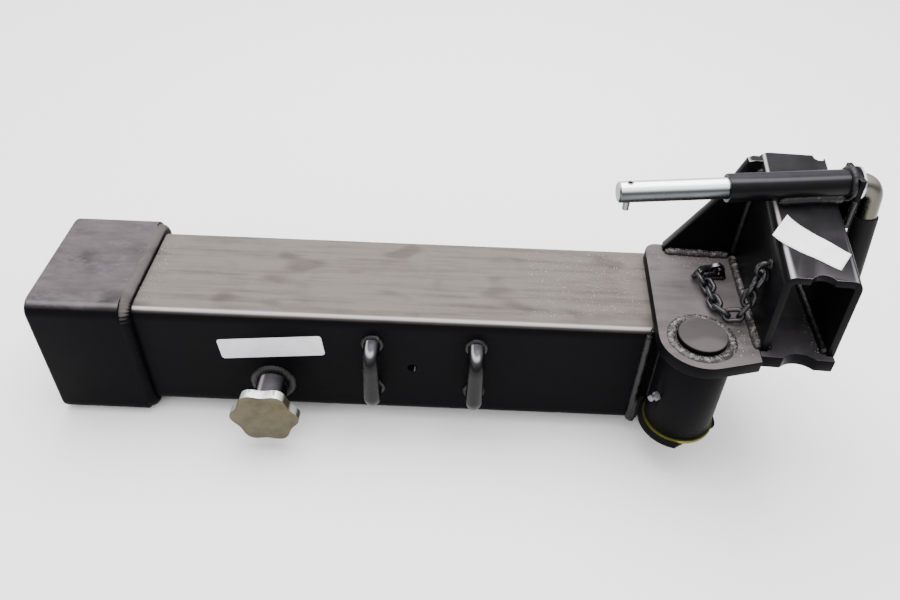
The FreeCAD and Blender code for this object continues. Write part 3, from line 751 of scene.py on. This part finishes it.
class WHEELLIFT_OT_beam_welds(bpy.types.Operator):
    """Lay the weld beads on the tube, collar, barrel, plunger and loops"""
    bl_idname = "wheellift.beam_welds"
    bl_label = "Tube welds"

    def execute(self, context):
        front = -TUBE_HALF
        pivot = PIVOT / MM
        notch = ring((pivot.x, pivot.y, TUBE_HALF - 0.6), UP, NOTCH_R, steps=48)
        notch = [p for p in notch if p.y > front and p.x < TUBE_END]
        notch.sort(key=lambda p: p.x)
        notch_x = pivot.x - math.sqrt(NOTCH_R ** 2 - (pivot.y - front) ** 2)
        barrel_x = pivot.x - math.sqrt(BARREL_R ** 2 - (pivot.y - front) ** 2)
        # The cap's bead is open toward the front, where the saddle is.
        cap_x, cap_half, saddle_y = TUBE_END + 2.2, TUBE_HALF - 0.8, -43.0
        cap = [p for p in square_loop(cap_x, cap_half, TUBE_CORNER) if p.y >= saddle_y]
        upper = sorted((p for p in cap if p.z > 0), key=lambda p: p.y - p.z)
        lower = sorted((p for p in cap if p.z <= 0), key=lambda p: -(p.y + p.z))
        cap = [Vector((cap_x, saddle_y, cap_half)), *upper, *lower, Vector((cap_x, saddle_y, -cap_half))]
        # The fillet round the collar is as wide as the collar is thick, and takes the tube's dust and
        # painted sheen.
        collar = square_loop(COLLAR_END + 0.8, TUBE_HALF + 1.9, TUBE_CORNER)
        beads("collar_weld", [(7.3, 0.8, True, collar)], "beam", "bead_enamel", beam)
        # Each bead: its radius, how lumpy it is, whether it closes on itself, and its path.
        plan = [
            (3.0, 0.8, False, cap),
            (2.0, 0.4, False, notch),
            (4.2, 1.4, False, [(notch_x - 0.6, front - 0.2, z) for z in (60.0, 20.0, -20.0, -60.0)]),
            (4.0, 1.2, False, [(barrel_x - 0.8, front - 0.6, z) for z in (61.0, 20.0, -24.0)]),
            (3.6, 1.0, False, [(TUBE_END + 7.2, -59.0, z) for z in (61.0, 20.0, -24.0)]),
            (5.6, 1.3, True, ring((PLUNGER[0], front + 1.8, PLUNGER[1]), (0, -1, 0), 17.6)),
        ]
        for x in LOOP_X:
            for side in (-1, 1):
                middle = (x, front - 0.2, LOOP_Z + side * LOOP_REACH)
                plan.append((2.6, 1.4, True, ring(middle, (0, -1, 0), 8.4, steps=30)))
        beads("tube_welds", plan, "beam", "dark_weld", beam)
        return {"FINISHED"}


class WHEELLIFT_OT_head_welds(bpy.types.Operator):
    """Lay the weld beads on the swivel head"""
    bl_idname = "wheellift.head_welds"
    bl_label = "Head welds"

    def execute(self, context):
        near = WALL_LEFT + WALL
        far = WALL_RIGHT - WALL
        lug_x = (13.5, 24.0, 34.5)
        along_sleeve = (-10.0, 20.0, 50.0)
        staple_y, staple_z = 31.0, (65.0, 51.0)
        bright = [
            (5.0, 1.6, True, ring((0, 0, -3.2), UP, 27.2, steps=48)),
            (4.4, 2.0, False, [(WALL_LEFT - 0.8, y, 0.4) for y in (-10.0, 30.0, 70.0, 122.0)]),
            (4.2, 2.4, False, [(x, GUSSET_FRONT - 1.0, 0.6) for x in (-20.0, 0.0, 20.0, 45.0)]),
        ]
        dark = [
            (3.2, 1.0, False, [(WALL_LEFT - 1.0, GUSSET_FRONT - 1.2, z) for z in (4.0, 50.0, 104.0)]),
            (3.6, 1.2, False, [(near + 0.8, y, 0.8) for y in (-10.0, 60.0, 143.0)]),
            (4.0, 1.6, False, [(far - 0.8, y, 0.8) for y in (-10.0, 60.0, 143.0)]),
            (4.4, 1.6, False, [along_rod(s, -9.4, 8.6) for s in along_sleeve]),
            (4.0, 1.4, False, [along_rod(s, 8.6, 7.6) for s in along_sleeve]),
            (3.0, 0.5, True, ring(along_rod(53.6), rod_axis(), 12.4)),
            (2.2, 0.8, False, [along_rod(56.0, -14.6, d) for d in (8.0, 22.0, 36.0)]),
            (2.0, 0.8, False, [(x, 86.2, 0.8) for x in lug_x]),
            (2.0, 0.8, False, [(x, 92.6, 0.8) for x in lug_x]),
        ]
        dark += [(1.5, 0.5, True, ring((WALL_LEFT - 0.3, staple_y, z), (1, 0, 0), 3.2, steps=18))
                 for z in staple_z]
        beads("plate_welds", bright, "head", "bright_weld", head)
        beads("receiver_welds", dark, "head", "dark_weld", head)
        return {"FINISHED"}


class WHEELLIFT_OT_spatter(bpy.types.Operator):
    """Scatter weld spatter over the tube's end, the plate and the receiver"""
    bl_idname = "wheellift.spatter"
    bl_label = "Spatter"

    def execute(self, context):
        sizes = context.scene.wheel_lift_sizes
        tree = spatter_tree()
        top = TUBE_HALF
        patches = {
            "head": (head, [
                [(-34, 104, 0), (48, 96, 0), (48, 122, 0), (-34, 122, 0)],
                [(28, -20, 0), (47, -20, 0), (47, 40, 0), (34, 26, 0)],
                [(92, -12, 0), (106, -12, 0), (106, 60, 0), (98, 60, 0)]]),
            "beam": (beam, [
                [(470, -50, top), (600, -38, top), (600, 50, top), (470, 50, top)],
                [(90, -50, top), (112, -50, top), (112, 50, top), (90, 50, top)]]),
        }
        for body, (convert, quads) in patches.items():
            mesh = bpy.data.meshes.new(f"{body}_patch")
            corners = [tuple(convert(*p)) for quad in quads for p in quad]
            faces = [tuple(range(4 * i, 4 * i + 4)) for i in range(len(quads))]
            mesh.from_pydata(corners, [], faces)
            piece = grown(f"{body}_spatter", mesh, tree, {
                "Density": sizes.spatter_density, "Smallest": 0.1 * MM, "Largest": sizes.spatter_largest,
                "Seed": sizes.seed, "Material": FINISH["spatter_drops"]})
            dress(piece, "spatter_drops", body)
        return {"FINISHED"}


class WHEELLIFT_OT_chain(bpy.types.Operator):
    """Lay the safety chain from the lug round the plate and up to the staple"""
    bl_idname = "wheellift.chain"
    bl_label = "Safety chain"

    def execute(self, context):
        # From the lug's hole, lying on the plate, then up the receiver's left wall to the staple.
        route = [(17.7, 89.4, 6.8), (9, 89.4, 6.5), (9, 77, 7.6), (15, 60, 7.6), (15, 43, 7.6),
                 (20, 31, 7.6), (31, 24, 8.6), (39, 27, 12.6), (41, 31, 24), (41, 31, 35.5),
                 (44, 31, 47.2)]
        path = path_mesh("chain_route", [head(*p) for p in route])
        piece = grown("chain_run", path, chain_tree(), {
            "Links": context.scene.wheel_lift_sizes.links, "Material": FINISH["chain_black"]})
        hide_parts("safety_chain")
        dress(piece, "chain_black", "head")
        return {"FINISHED"}


class WHEELLIFT_OT_label(bpy.types.Operator):
    """Stick the blank part label, with its round corners, on the front face"""
    bl_idname = "wheellift.label"
    bl_label = "Part label"

    def execute(self, context):
        half_x, half_z, corner, steps = 50.8, 12.7, 3.2, 6
        outline = []
        for quarter, (sx, sz) in enumerate(((1, 1), (-1, 1), (-1, -1), (1, -1))):
            for i in range(steps + 1):
                a = math.pi / 2 * (quarter + i / steps)
                outline.append(Vector((sx * (half_x - corner) + corner * math.cos(a), 0,
                                       sz * (half_z - corner) + corner * math.sin(a))))
        turn = Matrix.Rotation(math.radians(-5.8), 3, "Y")
        middle = Vector((223.0, -TUBE_HALF - 0.05, 22.6))
        mesh = bpy.data.meshes.new("label_sheet")
        rim = [tuple((middle + turn @ p) * MM) for p in outline]
        mesh.from_pydata(rim, [], [tuple(reversed(range(len(rim))))])
        piece = link_object("label_sheet", mesh)
        solid = piece.modifiers.new("film", "SOLIDIFY")
        solid.thickness = FILM * MM
        flattened(piece)
        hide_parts("part_label")
        dress(piece, "label_film", "beam")
        return {"FINISHED"}


class WHEELLIFT_OT_tape(bpy.types.Operator):
    """Stick the blank strip of masking tape on the receiver's top"""
    bl_idname = "wheellift.tape"
    bl_label = "Tape strip"

    def execute(self, context):
        start = Vector((51.0, 47.5))
        end = Vector((101.0, 14.0))
        run = end - start
        side = Vector((-run.y, run.x)).normalized()
        columns, rows = 30, 8
        wide, narrowing, loose = 30.0, 8.0, 0.3
        corners = []
        for i in range(columns + 1):
            along = i / columns
            for j in range(rows + 1):
                across = (j / rows - 0.5) * (wide - narrowing * along)
                spot = start + run * along + side * across
                # The near end has let go and lifts, and a slight buckle runs along the strip.
                curl = max(0.0, loose - along) / loose
                lift = 0.35 + 4.0 * curl ** 2 + 0.4 * math.sin(7 * along) ** 2
                corners.append(head(spot.x, spot.y, receiver_top(spot.y) + lift))
        faces = []
        for i in range(columns):
            for j in range(rows):
                a = i * (rows + 1) + j
                faces.append((a, a + rows + 1, a + rows + 2, a + 1))
        mesh = bpy.data.meshes.new("tape_strip")
        mesh.from_pydata([tuple(p) for p in corners], [], faces)
        piece = link_object("tape_strip", mesh)
        solid = piece.modifiers.new("film", "SOLIDIFY")
        solid.thickness = FILM * MM
        solid.offset = 0.0
        flattened(piece)
        piece.data.shade_smooth()
        dress(piece, "masking_tape", "head")
        return {"FINISHED"}


class WHEELLIFT_OT_stage(bpy.types.Operator):
    """Set the pale floor, the soft studio light and the camera"""
    bl_idname = "wheellift.stage"
    bl_label = "Stage"

    def execute(self, context):
        colours = context.scene.wheel_lift_colours
        low, high = CAD_BOUNDS
        mesh = bpy.data.meshes.new("studio_floor")
        reach = 6.0
        level = low[2] - 0.4 * MM
        square = [(-reach, -reach, level), (reach, -reach, level), (reach, reach, level),
                  (-reach, reach, level)]
        mesh.from_pydata(square, [], [(0, 1, 2, 3)])
        floor = link_object("studio_floor", mesh)
        paper = bpy.data.materials.new("backdrop_paper")
        paper.use_nodes = True
        shader = paper.node_tree.nodes["Principled BSDF"]
        shader.inputs["Base Color"].default_value = (*colours.floor, 1.0)
        shader.inputs["Roughness"].default_value = 0.9
        shader.inputs["Specular IOR Level"].default_value = 0.1
        mesh.materials.append(paper)

        world = bpy.data.worlds.new("studio")
        world.use_nodes = True
        sky = world.node_tree
        surround = sky.nodes["Background"]
        aim = add(sky, "ShaderNodeTexCoord").outputs["Generated"]
        height = add(sky, "ShaderNodeSeparateXYZ", {"Vector": aim}).outputs["Z"]
        # Bright overhead and dim at eye level, as a tented studio table is.
        level_share, top_share = 0.35, 1.5
        ramp = ranged(sky, height, 0.0, 0.8, to_low=level_share * colours.sky_strength,
                      to_high=top_share * colours.sky_strength)
        surround.inputs["Color"].default_value = (*colours.sky, 1.0)
        join(sky, surround.inputs["Strength"], ramp)
        context.scene.world = world

        middle = Vector(((low[0] + high[0]) / 2, (low[1] + high[1]) / 2, 0.05))
        for name, offset, size, power in (
                ("overhead_box", Vector((0.05, 0.55, 1.5)), 1.6, colours.key_power),
                ("front_strip", Vector((-0.9, -1.3, 0.9)), 0.7, 0.06 * colours.key_power)):
            lamp = bpy.data.lights.new(name, "AREA")
            lamp.shape = "SQUARE"
            lamp.size = size
            lamp.energy = power
            light = link_object(name, lamp)
            light.location = middle + offset
            light.rotation_euler = (-offset).to_track_quat("-Z", "Y").to_euler()

        # The camera looks steeply down from the front, turned and rolled by a small angle.
        down = math.radians(41.6)
        turned, roll = 0.006, 0.037
        spot = (0.3968, -0.6046, 0.5732)
        yaw = Matrix.Rotation(turned, 3, "Z")
        back = yaw @ Vector((0, -math.cos(down), math.sin(down)))
        right = yaw @ Vector((1, 0, 0))
        above = yaw @ Vector((0, math.sin(down), math.cos(down)))
        turned_right = right * math.cos(roll) + above * math.sin(roll)
        turned_above = above * math.cos(roll) - right * math.sin(roll)
        lens = bpy.data.cameras.new("camera")
        lens.lens = 32.05
        lens.sensor_width = 36.0
        lens.clip_start = 0.01
        camera = link_object("camera", lens)
        turn = Matrix((turned_right, turned_above, back)).transposed().to_4x4()
        camera.matrix_world = Matrix.Translation(spot) @ turn
        context.scene.camera = camera
        return {"FINISHED"}


class WHEELLIFT_PT_panel(bpy.types.Panel):
    bl_idname = "WHEELLIFT_PT_panel"
    bl_label = "Wheel lift"
    bl_space_type = "VIEW_3D"
    bl_region_type = "UI"
    bl_category = "Wheel lift"

    def draw(self, context):
        for group in (context.scene.wheel_lift_sizes, context.scene.wheel_lift_colours):
            for key in group.bl_rna.properties.keys():
                if key not in ("rna_type", "name"):
                    self.layout.prop(group, key)
        for step in STEPS:
            self.layout.operator(step.bl_idname)


STEPS = (WHEELLIFT_OT_finishes, WHEELLIFT_OT_stage, WHEELLIFT_OT_beam, WHEELLIFT_OT_head,
         WHEELLIFT_OT_rod, WHEELLIFT_OT_plunger, WHEELLIFT_OT_beam_welds, WHEELLIFT_OT_head_welds,
         WHEELLIFT_OT_spatter, WHEELLIFT_OT_chain, WHEELLIFT_OT_label, WHEELLIFT_OT_tape)
CLASSES = (WheelLiftSizes, WheelLiftColours, *STEPS, WHEELLIFT_PT_panel)


def register():
    for item in CLASSES:
        bpy.utils.register_class(item)
    bpy.types.Scene.wheel_lift_sizes = PointerProperty(type=WheelLiftSizes)
    bpy.types.Scene.wheel_lift_colours = PointerProperty(type=WheelLiftColours)


def unregister():
    del bpy.types.Scene.wheel_lift_colours
    del bpy.types.Scene.wheel_lift_sizes
    for item in reversed(CLASSES):
        bpy.utils.unregister_class(item)


def main():
    register()
    for step in STEPS:
        group, name = step.bl_idname.split(".")
        getattr(getattr(bpy.ops, group), name)()


if __name__ == "__main__":
    main()
